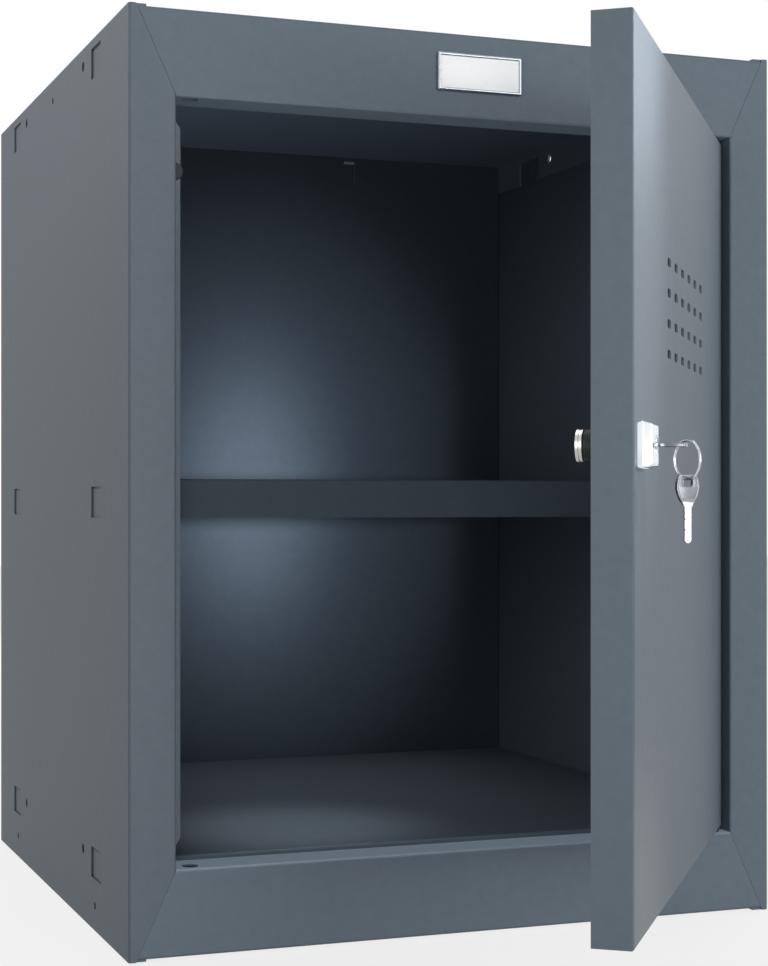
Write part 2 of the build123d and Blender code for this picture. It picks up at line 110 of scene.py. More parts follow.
# Soft boxes that stand round the locker: azimuth to the right of the front, elevation, width,
# height, watts, and what they light
SOFT_BOXES = {
    "left": (-55, 8, 1.2, 1.2, 8.5, "not_left_side"),
    "left_side": (-55, 8, 1.2, 1.2, 2.6, "left_side"),
    "stile": (12, 4, 1.0, 1.2, 12.6, "left_side"),
    "front_left": (-30, 8, 1.2, 1.2, 11.6, "not_left_side"),
    "front_right": (20, 8, 1.2, 1.2, 18.0, "frame"),
    "door_front": (20, 8, 1.2, 1.2, 13.3, "door"),
    "right": (45, 8, 1.2, 1.2, 2.4, "frame"),
    "low": (0, -4, 1.6, 0.3, 11.0, "frame"),
    "shelf": (-25, 8, 1.2, 1.2, 6.8, "shelf"),
    "back": (-25, 8, 1.2, 1.2, 2.6, "back"),
    "locker_floor": (-45, 35, 1.0, 1.0, 7.5, "locker_floor"),
    "behind_right": (115, 20, 1.2, 1.2, 16.0, "rear"),
    "behind": (180, 20, 1.6, 1.2, 20.0, "rear"),
    "above": (180, 75, 1.6, 1.6, 22.0, "everything"),
}

# Small lamps nearer by: place, target, width, height, watts, and what they light
SMALL_LAMPS = {
    "door_top": ((0.6, -0.25, 0.62), (0.05, -0.35, 0.35), 0.25, 0.25, 0.75, "door"),
    "door_corner": ((0.3, -0.8, 0.68), (0, -0.4, 0.45), 0.2, 0.2, 0.4, "door"),
    "door_edge": ((0.17, -0.99, 0.3), (0.02, -0.37, 0.26), 0.2, 0.4, 0.39, "door"),
    "side_top": ((-0.48, 0, 0.62), (-0.2, 0, 0.45), 0.8, 0.1, 0.45, "left_side"),
    "ceiling": ((-0.1, -0.9, 0.03), (-0.02, 0.05, 0.5), 0.5, 0.2, 15.0, "ceiling"),
    "floor_front": ((-0.5, -1.3, 0.75), (-0.1, 0, 0.05), 0.4, 0.4, 4.6, "locker_floor"),
    "top_return": ((-0.05, -0.25, 0.03), (-0.05, -0.19, 0.47), 0.35, 0.03, 0.8, "top_rail"),
    "bottom_return": ((-0.05, -0.29, 1.5), (-0.05, -0.19, 0.05), 0.35, 0.05, 22.0, "bottom_rail"),
}

# Other pieces don't shade what these lamps light
UNSHADED = ("top_return", "bottom_return", "floor_glow", "floor_rear")

# Three cones from here make the soft spot on the back, behind the left half of the shelf
BACK_LAMP = (-0.35, -1.3, 0.258)

# Soft glows: place, target, angle, narrowing across, watts, and what they light
GLOWS = {
    "back_core": (BACK_LAMP, (-0.011, 0.189, 0.26), 7.6, 0.59, 46.0, "back"),
    "back_middle": (BACK_LAMP, (-0.011, 0.189, 0.26), 12.2, 0.59, 32.0, "back"),
    "back_wide": (BACK_LAMP, (-0.011, 0.189, 0.262), 19.5, 0.8, 25.0, "back"),
    "door_corner_glow": ((0.7, -0.7, 0.62), (-0.05, -0.45, 0.47), 14.5, 1.0, 32.0, "door"),
    "door_edge_glow": ((0.7, -0.7, 0.48), (-0.05, -0.45, 0.4), 33.0, 0.5, 14.0, "door"),
    "door_foot_glow": ((0.7, -0.7, 0.1), (-0.05, -0.45, 0.04), 17.0, 1.0, 9.0, "door"),
    "floor_glow": ((-0.078, -0.15, 0.36), (-0.078, -0.11, 0.05), 37.0, 1.0, 2.0, "locker_floor"),
    "floor_rear": ((-0.05, 0.04, 0.36), (-0.05, 0.1, 0.05), 90.0, 1.0, 0.7, "locker_floor"),
}
GLOW_FADE = 1.0
GLOW_RADIUS = 0.03

# The tint of a group's lamps, and the lamps that have a warm tint of their own
COOL = (0.88, 0.96, 1.07)
WARM = (1.35, 1.0, 0.7)
PLAIN = (1, 1, 1)
TINTS = {"shelf": COOL, "back": COOL, "ceiling": COOL}
WARM_LAMPS = ("left_side", "door_foot_glow")


def aimed_lamp(name, data, place, target):
    lamp = bpy.data.objects.new(name, data)
    lamp.location = place
    lamp.rotation_euler = (Vector(target) - Vector(place)).to_track_quat("-Z", "Y").to_euler()
    bpy.context.scene.collection.objects.link(lamp)
    return lamp


def area_light(name, place, target, size, watts):
    """A rectangular lamp that lights the scene and isn't seen itself."""
    data = bpy.data.lights.new(name, "AREA")
    data.shape = "RECTANGLE"
    data.size, data.size_y = size
    data.energy = watts
    lamp = aimed_lamp(name, data, place, target)
    lamp.visible_camera = False
    return lamp


def glow(name, place, target, angle, across, watts):
    """A spot lamp that fades from its middle to its edge, and can be narrower across than up."""
    data = bpy.data.lights.new(name, "SPOT")
    data.energy, data.spot_size = watts, math.radians(angle)
    data.spot_blend, data.shadow_soft_size = GLOW_FADE, GLOW_RADIUS
    lamp = aimed_lamp(name, data, place, target)
    lamp.scale = (across, 1, 1)
    return lamp


def lit_groups():
    """The sets of objects that a lamp can be kept to."""
    every = [solid for solid in bpy.data.objects if solid.type == "MESH"]
    outside = [solid for solid in every if solid.name not in INSIDE]
    kept_off = BRIGHT | {"left_side_panel"}
    sets = {
        "not_left_side": [solid for solid in outside if solid.name not in kept_off],
        "frame": [solid for solid in outside if solid.name != "door_skin"],
        "rear": [solid for solid in every if solid.name in REAR],
    }
    for name, node in ALONE.items():
        sets[name] = [solid for solid in every if solid.name == node]
    groups = {"everything": None}
    for name, solids in sets.items():
        groups[name] = bpy.data.collections.new(name)
        for solid in solids:
            groups[name].objects.link(solid)
    return groups


def keep_to(lamp, name, group, groups):
    """Keeps a lamp to the objects of a group, with its tint."""
    lamp.light_linking.receiver_collection = groups[group]
    lamp.data.color = WARM if name in WARM_LAMPS else TINTS.get(group, PLAIN)
    if name in UNSHADED:
        lamp.light_linking.blocker_collection = groups[group]


def lights():
    groups = lit_groups()
    for name, (azimuth, elevation, width, height, watts, group) in SOFT_BOXES.items():
        turn, rise = math.radians(azimuth), math.radians(elevation)
        flat = math.cos(rise)
        way = Vector((math.sin(turn) * flat, -math.cos(turn) * flat, math.sin(rise)))
        lamp = area_light(name, MIDDLE + way * FAR, MIDDLE, (width, height), watts)
        keep_to(lamp, name, group, groups)
    for name, (place, target, width, height, watts, group) in SMALL_LAMPS.items():
        lamp = area_light(name, place, target, (width, height), watts)
        keep_to(lamp, name, group, groups)
    for name, (place, target, angle, across, watts, group) in GLOWS.items():
        lamp = glow(name, place, target, angle, across, watts)
        keep_to(lamp, name, group, groups)


def seen_directly(nodes, links):
    """1 for what is seen straight, in a reflection or through glass, and 0 for soft light."""
    path = nodes.new("ShaderNodeLightPath")
    most = nodes.new("ShaderNodeMath")
    most.operation = "MAXIMUM"
    links.new(path.outputs["Is Camera Ray"], most.inputs[0])
    links.new(path.outputs["Is Glossy Ray"], most.inputs[1])
    both = nodes.new("ShaderNodeMath")
    both.operation = "MAXIMUM"
    links.new(most.outputs[0], both.inputs[0])
    links.new(path.outputs["Is Transmission Ray"], both.inputs[1])
    return both.outputs[0]


SKY = (0.92, 0.96, 1, 1)
SKY_STRENGTH = 0.12
WHITE = (1, 1, 1, 1)


def world():
    w = bpy.data.worlds.new("studio")
    bpy.context.scene.world = w
    w.use_nodes = True
    nodes, links = w.node_tree.nodes, w.node_tree.links
    nodes.clear()
    soft = nodes.new("ShaderNodeBackground")
    soft.inputs["Color"].default_value = SKY
    soft.inputs["Strength"].default_value = SKY_STRENGTH
    white = nodes.new("ShaderNodeBackground")
    white.inputs["Color"].default_value = WHITE
    white.inputs["Strength"].default_value = 1.0
    mix = nodes.new("ShaderNodeMixShader")
    links.new(seen_directly(nodes, links), mix.inputs[0])
    links.new(soft.outputs[0], mix.inputs[1])
    links.new(white.outputs[0], mix.inputs[2])
    out = nodes.new("ShaderNodeOutputWorld")
    links.new(mix.outputs[0], out.inputs["Surface"])


GROUND_SIZE = 12
GROUND_LEVEL = -0.0005
GROUND_COLOUR = (0.82, 0.82, 0.81, 1)
GROUND_WHITE = 0.8


def floor():
    """The ground: a matte floor that is mostly plain white where it is seen."""
    bpy.ops.mesh.primitive_plane_add(size=GROUND_SIZE, location=(0, 0, GROUND_LEVEL))
    ground = bpy.context.object
    ground.name = "floor"
    mat = bpy.data.materials.new("floor")
    mat.use_nodes = True
    nodes, links = mat.node_tree.nodes, mat.node_tree.links
    nodes.clear()
    matte = nodes.new("ShaderNodeBsdfDiffuse")
    matte.inputs["Color"].default_value = GROUND_COLOUR
    white = nodes.new("ShaderNodeEmission")
    white.inputs["Strength"].default_value = 1.0
    share = nodes.new("ShaderNodeMath")
    share.operation = "MULTIPLY"
    links.new(seen_directly(nodes, links), share.inputs[0])
    share.inputs[1].default_value = GROUND_WHITE
    mix = nodes.new("ShaderNodeMixShader")
    links.new(share.outputs[0], mix.inputs[0])
    links.new(matte.outputs[0], mix.inputs[1])
    links.new(white.outputs[0], mix.inputs[2])
    out = nodes.new("ShaderNodeOutputMaterial")
    links.new(mix.outputs[0], out.inputs["Surface"])
    ground.data.materials.append(mat)


# Materials: scales are per metre, and bump depths are in metres

DULL_SPECULAR = 0.3
NOISE_ENDS = (0.3, 0.7)


class Look:
    """A material with a shader, and short ways to add procedural detail to it."""

    def __init__(self, name, roughness, metallic=0.0):
        self.mat = bpy.data.materials.new(name)
        self.mat.use_nodes = True
        self.nodes, self.links = self.mat.node_tree.nodes, self.mat.node_tree.links
        self.shader = self.nodes["Principled BSDF"]
        self.shader.inputs["Roughness"].default_value = roughness
        self.shader.inputs["Metallic"].default_value = metallic
        self.place = self.nodes.new("ShaderNodeTexCoord").outputs["Object"]

    def stretched(self, scale):
        mapping = self.nodes.new("ShaderNodeMapping")
        mapping.inputs["Scale"].default_value = scale
        self.links.new(self.place, mapping.inputs["Vector"])
        return mapping.outputs["Vector"]

    def noise(self, scale, detail=3.0, rough=0.5, stretch=None):
        tex = self.nodes.new("ShaderNodeTexNoise")
        tex.inputs["Scale"].default_value = scale
        tex.inputs["Detail"].default_value = detail
        tex.inputs["Roughness"].default_value = rough
        self.links.new(self.stretched(stretch) if stretch else self.place, tex.inputs["Vector"])
        return tex.outputs["Fac"]

    def ramp(self, value, low, high):
        """Maps a texture's value between two numbers."""
        spread = self.nodes.new("ShaderNodeMapRange")
        self.links.new(value, spread.inputs["Value"])
        spread.inputs["From Min"].default_value = NOISE_ENDS[0]
        spread.inputs["From Max"].default_value = NOISE_ENDS[1]
        spread.inputs["To Min"].default_value = low
        spread.inputs["To Max"].default_value = high
        return spread.outputs["Result"]

    def mixed(self, value, dark, light):
        """A colour between two, by a texture's value."""
        mix = self.nodes.new("ShaderNodeMix")
        mix.data_type = "RGBA"
        self.links.new(self.ramp(value, 0, 1), mix.inputs["Factor"])
        mix.inputs["A"].default_value = (*dark, 1)
        mix.inputs["B"].default_value = (*light, 1)
        return mix.outputs["Result"]

    def colour(self, value, dark, light):
        self.links.new(self.mixed(value, dark, light), self.shader.inputs["Base Color"])

    def roughness(self, value, low, high):
        self.links.new(self.ramp(value, low, high), self.shader.inputs["Roughness"])

    def bump(self, value, depth, strength, under=None):
        node = self.nodes.new("ShaderNodeBump")
        node.inputs["Strength"].default_value = strength
        node.inputs["Distance"].default_value = depth
        self.links.new(value, node.inputs["Height"])
        if under is not None:
            self.links.new(under, node.inputs["Normal"])
        self.links.new(node.outputs["Normal"], self.shader.inputs["Normal"])
        return node.outputs["Normal"]


def powder_coat(name, dark, light):
    """Satin powder coat: a fine orange-peel surface with a faint speckle of tone."""
    look = Look(name, 0.55)
    look.shader.inputs["Specular IOR Level"].default_value = DULL_SPECULAR
    look.colour(look.noise(160, 4, 0.6), dark, light)
    look.roughness(look.noise(90, 3), 0.54, 0.56)
    peel = look.bump(look.noise(420, 2, 0.4), 0.00005, 0.35)
    look.bump(look.noise(1900, 2, 0.5), 0.00001, 0.3, peel)
    return look.mat


def zinc():
    """Zinc plate: bright, a little clouded, with fine drawn lines."""
    look = Look("zinc", 0.3, 1.0)
    look.colour(look.noise(80, 3), (0.5, 0.5, 0.475), (0.56, 0.56, 0.535))
    look.roughness(look.noise(300, 3), 0.28, 0.34)
    look.bump(look.noise(300, 3, 0.6, (1, 1, 30)), 0.00002, 0.25)
    return look.mat


def chrome(name, dark, light):
    """Chrome plate: nearly a mirror, with very faint lines."""
    look = Look(name, 0.14, 1.0)
    look.colour(look.noise(40, 2), dark, light)
    look.roughness(look.noise(700, 3), 0.1, 0.18)
    look.bump(look.noise(1200, 2, 0.5, (1, 8, 1)), 0.000005, 0.2)
    return look.mat


BOW_LAYER = "bow"


def nickel():
    """The keys: bright nickel plate, and the same nickel on the bow with a painted darker reflection,
    where the mesh's attribute says so.
    """
    look = Look("nickel", 0.25, 1.0)
    tone = look.noise(180, 4)
    blade = look.mixed(tone, (0.78, 0.8, 0.83), (0.88, 0.9, 0.93))
    # Painted reflection: the bow is the same nickel as the blade, made darker and bluer for the
    # reflection it shows
    bow = look.mixed(tone, (0.2, 0.215, 0.235), (0.235, 0.25, 0.27))
    share = look.nodes.new("ShaderNodeAttribute")
    share.attribute_name = BOW_LAYER
    both = look.nodes.new("ShaderNodeMix")
    both.data_type = "RGBA"
    for socket, value in (("Factor", share.outputs["Fac"]), ("A", blade), ("B", bow)):
        look.links.new(value, both.inputs[socket])
    look.links.new(both.outputs["Result"], look.shader.inputs["Base Color"])
    look.roughness(look.noise(400, 4), 0.22, 0.36)
    look.bump(look.noise(900, 3, 0.7, (1, 12, 1)), 0.00001, 0.3)
    return look.mat


def black_metal():
    """The lock's barrel: blackened metal with a dull sheen."""
    look = Look("black_metal", 0.55)
    look.shader.inputs["Specular IOR Level"].default_value = DULL_SPECULAR
    look.colour(look.noise(240, 3), (0.008, 0.008, 0.009), (0.016, 0.016, 0.018))
    look.roughness(look.noise(500, 3), 0.5, 0.6)
    look.bump(look.noise(1500, 2), 0.00001, 0.3)
    return look.mat


def aluminium():
    """The rivets: plain, slightly rough aluminium."""
    look = Look("aluminium", 0.35, 1.0)
    look.colour(look.noise(300, 3), (0.72, 0.73, 0.75), (0.82, 0.83, 0.85))
    look.roughness(look.noise(800, 3), 0.28, 0.42)
    look.bump(look.noise(1500, 2), 0.00001, 0.3)
    return look.mat


def silver_trim():
    """The nameplate's frame: satin silver."""
    look = Look("silver_trim", 0.3, 1.0)
    look.colour(look.noise(90, 2), (0.41, 0.44, 0.475), (0.46, 0.49, 0.525))
    look.roughness(look.noise(500, 3), 0.24, 0.36)
    look.bump(look.noise(900, 2, 0.5, (12, 1, 1)), 0.000006, 0.3)
    return look.mat


def nylon():
    """The hinge's bushes: black moulded plastic."""
    look = Look("nylon", 0.5)
    look.colour(look.noise(300, 3), (0.018, 0.018, 0.02), (0.03, 0.03, 0.034))
    look.bump(look.noise(1400, 2), 0.00002, 0.4)
    return look.mat


def rubber():
    """The buffer: soft, dark rubber, darkened further with painted shade to nearly the tone of the
    shaded paint around it.
    """
    look = Look("rubber", 0.7)
    # Painted shade: the rubber's colour is made darker and bluer, like the shaded lip it sits on
    look.colour(look.noise(260, 3), (0.022, 0.027, 0.034), (0.034, 0.04, 0.048))
    look.bump(look.noise(1600, 2), 0.00002, 0.5)
    return look.mat


def card():
    """A plain white card under a clear sheet."""
    look = Look("card", 0.3)
    look.colour(look.noise(400, 3), (0.9, 0.905, 0.92), (0.925, 0.93, 0.945))
    look.roughness(look.noise(600, 2), 0.28, 0.34)
    look.bump(look.noise(1200, 3), 0.000004, 0.2)
    return look.mat


PAINT = ((0.091, 0.117, 0.144), (0.101, 0.129, 0.157))
LOOKS = {
    "carcass_steel": powder_coat("carcass_paint", *PAINT),
    "door_steel": powder_coat("door_paint", *PAINT),
    "zinc_steel": zinc(),
    "rivet_aluminium": aluminium(),
    "bush_plastic": nylon(),
    "buffer_rubber": rubber(),
    "bezel_metal": silver_trim(),
    "card_plastic": card(),
    "lock_chrome": chrome("lock_chrome", (0.78, 0.83, 0.87), (0.84, 0.89, 0.93)),
    "lock_black": black_metal(),
    "key_nickel": nickel(),
    "ring_chrome": chrome("ring_chrome", (0.5, 0.52, 0.54), (0.62, 0.64, 0.66)),
}
SLOTS = {part["node"]: part["material_slot"] for part in frame["record"]["subparts"]}


# Mesh building, in millimetres in a piece's own frame

MERGE = 0.001
PIECE_MERGE = 1e-7
BEVEL_STEPS = 2


def rounded(half_x, half_y, radius, height, per=8):
    """A rounded rectangle's points at a height, or a circle's where radius is the half size."""
    points = []
    corners = ((1, 1, 0), (-1, 1, 90), (-1, -1, 180), (1, -1, 270))
    for side_x, side_y, start in corners:
        for step in range(per):
            angle = math.radians(start + 90 * step / (per - 1))
            points.append((side_x * (half_x - radius) + radius * math.cos(angle),
                           side_y * (half_y - radius) + radius * math.sin(angle), height))
    return points


def loft(sections, closed=False, capped=False):
    """A mesh through rows of points: closed joins the last row to the first, capped fills the ends."""
    bm = bmesh.new()
    rows = [[bm.verts.new(point) for point in section] for section in sections]
    pairs = list(zip(rows, rows[1:])) + ([(rows[-1], rows[0])] if closed else [])
    for low, high in pairs:
        for i in range(len(low)):
            j = (i + 1) % len(low)
            bm.faces.new((low[i], low[j], high[j], high[i]))
    if capped:
        bm.faces.new(list(reversed(rows[0])))
        bm.faces.new(rows[-1])
    return bm


def lathe(profile, steps):
    """Turns (radius, height) points about Z into one closed skin."""
    sections = []
    for i in range(steps):
        angle = math.radians(360.0 * i / steps)
        sections.append([(r * math.cos(angle), r * math.sin(angle), z) for r, z in profile])
    return loft(sections, closed=True)


def circle(radius, height, steps=72):
    turns = [2 * math.pi * i / steps for i in range(steps)]
    return [(radius * math.cos(turn), radius * math.sin(turn), height) for turn in turns]


def arc(centre, radius, start, end, steps):
    turns = [math.radians(start + (end - start) * i / steps) for i in range(steps + 1)]
    return [(centre[0] + radius * math.cos(turn), centre[1] + radius * math.sin(turn))
            for turn in turns]


def plate(outlines, thickness, edge):
    """A flat shape with rounded edges, from an outline and its holes, centred on its own plane."""
    data = bpy.data.curves.new("outline", "CURVE")
    data.dimensions, data.fill_mode = "2D", "BOTH"
    data.extrude, data.offset = thickness / 2 - edge, -edge
    data.bevel_depth, data.bevel_resolution = edge, BEVEL_STEPS
    for outline in outlines:
        spline = data.splines.new("POLY")
        spline.points.add(len(outline) - 1)
        for point, (x, y) in zip(spline.points, outline):
            point.co = (x, y, 0, 1)
        spline.use_cyclic_u = True
    shape = bpy.data.objects.new("outline", data)
    mesh = bpy.data.meshes.new_from_object(shape)
    bm = bmesh.new()
    bm.from_mesh(mesh)
    bmesh.ops.remove_doubles(bm, verts=bm.verts, dist=MERGE)
    bpy.data.objects.remove(shape)
    bpy.data.curves.remove(data)
    bpy.data.meshes.remove(mesh)
    return bm


def moved(bm, matrix):
    bmesh.ops.transform(bm, matrix=matrix, verts=bm.verts)
    return bm


def joined(*shapes):
    """Several closed skins as one mesh."""
    whole = bmesh.new()
    for bm in shapes:
        mesh = bpy.data.meshes.new("part")
        bm.to_mesh(mesh)
        bm.free()
        whole.from_mesh(mesh)
        bpy.data.meshes.remove(mesh)
    return whole


def piece(name, bm, body, *nodes, crease=35):
    """Makes an object of a mesh in millimetres in the locker's frame.

    It stands for the nodes and rides on the body. Edges sharper than crease degrees stay sharp.
    """
    bmesh.ops.scale(bm, vec=(MM, MM, MM), verts=bm.verts)
    bmesh.ops.remove_doubles(bm, verts=bm.verts, dist=PIECE_MERGE)
    bmesh.ops.recalc_face_normals(bm, faces=bm.faces)
    mesh = bpy.data.meshes.new(name)
    bm.to_mesh(mesh)
    bm.free()
    mesh.shade_smooth()
    mesh.set_sharp_from_angle(angle=math.radians(crease))
    made = bpy.data.objects.new(name, mesh)
    bpy.context.scene.collection.objects.link(made)
    mesh.materials.append(LOOKS[SLOTS[nodes[0]]])
    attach(made, body)
    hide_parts(*nodes)
    return made


def frame_at(origin, x_axis, y_axis, z_axis):
    """The matrix that takes a piece's own frame, in millimetres, to a place in the locker."""
    matrix = Matrix((x_axis, y_axis, z_axis)).transposed().to_4x4()
    matrix.translation = origin
    return matrix


def at_lock():
    """The lock's frame: +Z points out of the door, +X to the hinge and +Y up."""
    out = Vector(JOINTS["key_turn"]["axis"]).normalized()
    return frame_at(Vector(JOINTS["key_turn"]["pos_m"]) / MM, UP.cross(out), UP, out)


# The nameplate

# Inset from the frame's outside, and height over the rail
PLATE_BORDER = 1.9
PLATE_PROFILE = (
    (0, 0), (0, 1.5), (0.08, 1.85), (0.3, 2.2), (0.62, 2.48), (1.0, 2.6), (1.35, 2.56), (1.6, 2.4),
    (1.78, 2.15), (PLATE_BORDER, 1.9), (PLATE_BORDER, 0),
)
PLATE_CORNER = 1.0
PLATE_LEAST_CORNER = 0.15
CARD_PROFILE = ((0.0, 0.0), (0.0, 1.6), (0.06, 1.74), (0.2, 1.8))
CARD_CORNER = 0.4


def nameplate():
    """A silver frame with a sloping, rounded border round a blank card."""
    low, high = (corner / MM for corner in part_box("nameplate_bezel"))
    half_x, half_y = (high.x - low.x) / 2, (high.z - low.z) / 2
    centre = Vector(((low.x + high.x) / 2, high.y, (low.z + high.z) / 2))
    on_rail = frame_at(centre, Vector((1, 0, 0)), UP, Vector((0, -1, 0)))
    sections = []
    for inset, height in PLATE_PROFILE:
        corner = max(PLATE_CORNER - inset, PLATE_LEAST_CORNER)
        sections.append(rounded(half_x - inset, half_y - inset, corner, height))
    border = moved(loft(sections, closed=True), on_rail)
    piece("nameplate_frame", border, "carcass", "nameplate_bezel")

    inside_x, inside_y = half_x - PLATE_BORDER, half_y - PLATE_BORDER
    sections = [rounded(inside_x - inset, inside_y - inset, CARD_CORNER, height)
                for inset, height in CARD_PROFILE]
    blank = moved(loft(sections, capped=True), on_rail)
    piece("nameplate_blank", blank, "carcass", "nameplate_card")


# The lock: heights are over the door's face

BARREL_RADIUS = 7.5
BARREL_BORE = 4.56
BARREL_LENGTH = 25.2

# Half size, corner radius and height
LOCK_BASE = (
    (10.7, 1.5, 0.0), (10.7, 1.5, 2.6), (10.64, 1.46, 2.84), (10.48, 1.3, 2.97), (10.34, 1.2, 3.0),
)
LOCK_BLOCK = (
    (10.28, 1.0, 3.06), (10.22, 1.0, 3.3), (9.76, 1.0, 5.85), (9.58, 1.0, 6.4), (9.3, 1.05, 6.76),
    (8.9, 1.15, 6.98), (8.3, 1.3, 7.12), (7.3, 1.8, 7.24), (6.4, 2.6, 7.3),
)
# Radius and height
LOCK_MOUTH = (
    (5.7, 7.34), (5.2, 7.38), (4.9, 7.4), (4.66, 7.32), (BARREL_BORE, 7.1), (BARREL_BORE, 0.0),
)


def lock_front():
    """A square base and a slightly domed block on it, with a smooth round mouth for the plug."""
    face = [rounded(half, half, corner, height) for half, corner, height in LOCK_BASE + LOCK_BLOCK]
    mouth = [rounded(radius, radius, radius, height) for radius, height in LOCK_MOUTH]
    front = moved(loft(face + mouth, closed=True), at_lock())
    piece("lock_front", front, "door", "lock_face", crease=28)


THREAD_PITCH = 1.0
THREAD_DEPTH = 0.16
# How steep the groove's sides are, and the rows of points in one pitch
THREAD_FLANK = 1.6
THREAD_STEPS = 6
THREAD_SPAN = (0.6 - BARREL_LENGTH, -0.2)
BARREL_TIP = 6.8
BARREL_NECK = 7.4


def threaded_barrel():
    """The black barrel, with its thread cut as one long groove."""
    first, last = THREAD_SPAN
    steps = int((last - first) / THREAD_PITCH * THREAD_STEPS)
    sections = [circle(BARREL_BORE, -BARREL_LENGTH), circle(BARREL_TIP, -BARREL_LENGTH)]
    for step in range(steps + 1):
        height = first + (last - first) * step / steps
        row = []
        for x, y, _ in circle(1, 0):
            phase = height / THREAD_PITCH - math.atan2(y, x) / (2 * math.pi)
            groove = min(1, THREAD_FLANK * abs(2 * (phase % 1) - 1))
            radius = BARREL_RADIUS - THREAD_DEPTH * groove
            row.append((radius * x, radius * y, height))
        sections.append(row)
    sections += [circle(BARREL_NECK, 0), circle(BARREL_BORE, 0)]
    barrel = moved(loft(sections, closed=True), at_lock())
    piece("threaded_barrel", barrel, "door", "lock_barrel", crease=60)


# A nut's round face as a share of its flats, the slope of its turned corners, the most of its
# thickness that they take, and their steps
NUT_FACE = 0.985
NUT_SLOPE = 1.75
NUT_TURNED_MOST = 0.46
NUT_TURNED_STEPS = (0, 0.2, 0.5, 1)
NUT_CHAMFER = 0.3


def nut(name, node, body, flats, thickness, bore, start, corner=None):
    """A hexagon nut from start upwards, with its corners turned down at both faces.

    Where corner is given, the hexagon is also turned to that radius all along.
    """
    across = flats / 2
    corner, face = corner or across / math.cos(math.pi / 6), across * NUT_FACE
    turned_depth = min((corner - face) / NUT_SLOPE, NUT_TURNED_MOST * thickness)
    depths = [turned_depth * share for share in NUT_TURNED_STEPS]
    sections = []
    for height in depths + [thickness - depth for depth in reversed(depths)]:
        turned = face + NUT_SLOPE * min(height, thickness - height)
        row = []
        for x, y, _ in circle(1, 0):
            flat = (math.atan2(y, x) + math.pi / 6) % (math.pi / 3) - math.pi / 6
            radius = min(across / math.cos(flat), turned, corner)
            row.append((radius * x, radius * y, start + height))
        sections.append(row)
    wide, top = bore + NUT_CHAMFER, thickness - NUT_CHAMFER
    for radius, height in ((wide, thickness), (bore, top), (bore, NUT_CHAMFER), (wide, 0)):
        sections.append(circle(radius, start + height))
    piece(name, moved(loft(sections, closed=True), at_lock()), body, node, crease=24)


def barrel_nut():
    """The large nut that holds the lock on the door."""
    nut("barrel_hexagon", "barrel_nut", "door", flats=19, thickness=4, bore=BARREL_RADIUS, start=-5)


def cam_nut():
    """The small nut that holds the cam on the plug."""
    nut("cam_hexagon", "cam_nut", "plug", flats=15, thickness=1.5, bore=2.5, start=-28.45, corner=7.6)


# The disc's radius, and the angle at which it gives way to the arm
CAM_DISC = 7.5
CAM_DISC_ENDS = 53.2
CAM_CORNERS = ((19, -3), (19, 3))
CAM_CORNER = 3
CAM_SQUARE = 3.02
CAM_THICKNESS = 1.7
CAM_EDGE = 0.22
CAM_LEVEL = -26.1


def cam_plate():
    """The pressed cam: a disc and an arm with rounded edges, and a square hole for the plug's tail."""
    near, far = CAM_CORNERS
    outline = arc((0, 0), CAM_DISC, CAM_DISC_ENDS, 360 - CAM_DISC_ENDS, 40)
    outline += arc(near, CAM_CORNER, -90, 0, 8) + arc(far, CAM_CORNER, 0, 90, 8)
    square = [(x * CAM_SQUARE, y * CAM_SQUARE) for x, y in ((1, 1), (-1, 1), (-1, -1), (1, -1))]
    cam = plate([outline, square], CAM_THICKNESS, CAM_EDGE)
    cam = moved(cam, Matrix.Translation((0, 0, CAM_LEVEL)))
    piece("cam_plate", moved(cam, at_lock()), "plug", "lock_cam")


# Keys: drawn with the blade down -Z and the bow up, from where the two meet

# Height and half width at the bow's foot, its widest place and its top
BOW_SIDE = ((2.3, 3.8), (9.5, 6.3), (14.3, 4.7))
BOW_CORNER = 0.8
BOW_CORNER_START = 15
BOW_STEPS = 14
BOW_THICKNESS = 1.7
# Above this height the key has the bow's painted darker reflection
BOW_STARTS = 2.0
RIM_WIDTH = 1.1
RIM_EDGE = 0.25
RIM_FOOT = [(2.5, 0), (2.52, 0.6), (2.75, 1.3)]
CORE_INSET = 0.6
CORE_SUNK = 0.35
CORE_EDGE = 0.1
CORE_FOOT = [(1.9, 0.6), (2.2, 1.3)]
SLOT_HALF = (2.65, 1.9)
SLOT_CORNER = 1.2
SLOT_MIDDLE = 11.0
EYE_WIDTH = 0.55
EYE_OVERLAP = 0.3
EYE_SUNK = 0.04
EYE_EDGE = 0.2


def bow_half_width(along):
    """The bow's half width, on a smooth curve through its foot, its widest place and its top."""
    (y0, x0), (y1, x1), (y2, x2) = BOW_SIDE
    return (x0 * (along - y1) * (along - y2) / ((y0 - y1) * (y0 - y2))
            + x1 * (along - y0) * (along - y2) / ((y1 - y0) * (y1 - y2))
            + x2 * (along - y0) * (along - y1) / ((y2 - y0) * (y2 - y1)))


def bow_outline(inset, foot):
    """The bow, drawn from foot upwards and narrower by inset all round."""
    top = BOW_SIDE[2][0] - inset - BOW_CORNER
    first = BOW_SIDE[0][0] + inset
    heights = [first + (top - first) * i / BOW_STEPS for i in range(BOW_STEPS + 1)]
    half = foot + [(bow_half_width(y) - inset, y) for y in heights]
    half += arc((half[-1][0] - BOW_CORNER, top), BOW_CORNER, BOW_CORNER_START, 90, 5)
    return half + [(-x, y) for x, y in reversed(half)]


def slot_outline(grow):
    """The bow's slot, wider by grow all round."""
    half_x, half_y = (half + grow for half in SLOT_HALF)
    return [(x, y + SLOT_MIDDLE) for x, y, _ in rounded(half_x, half_y, SLOT_CORNER + grow, 0, 6)]


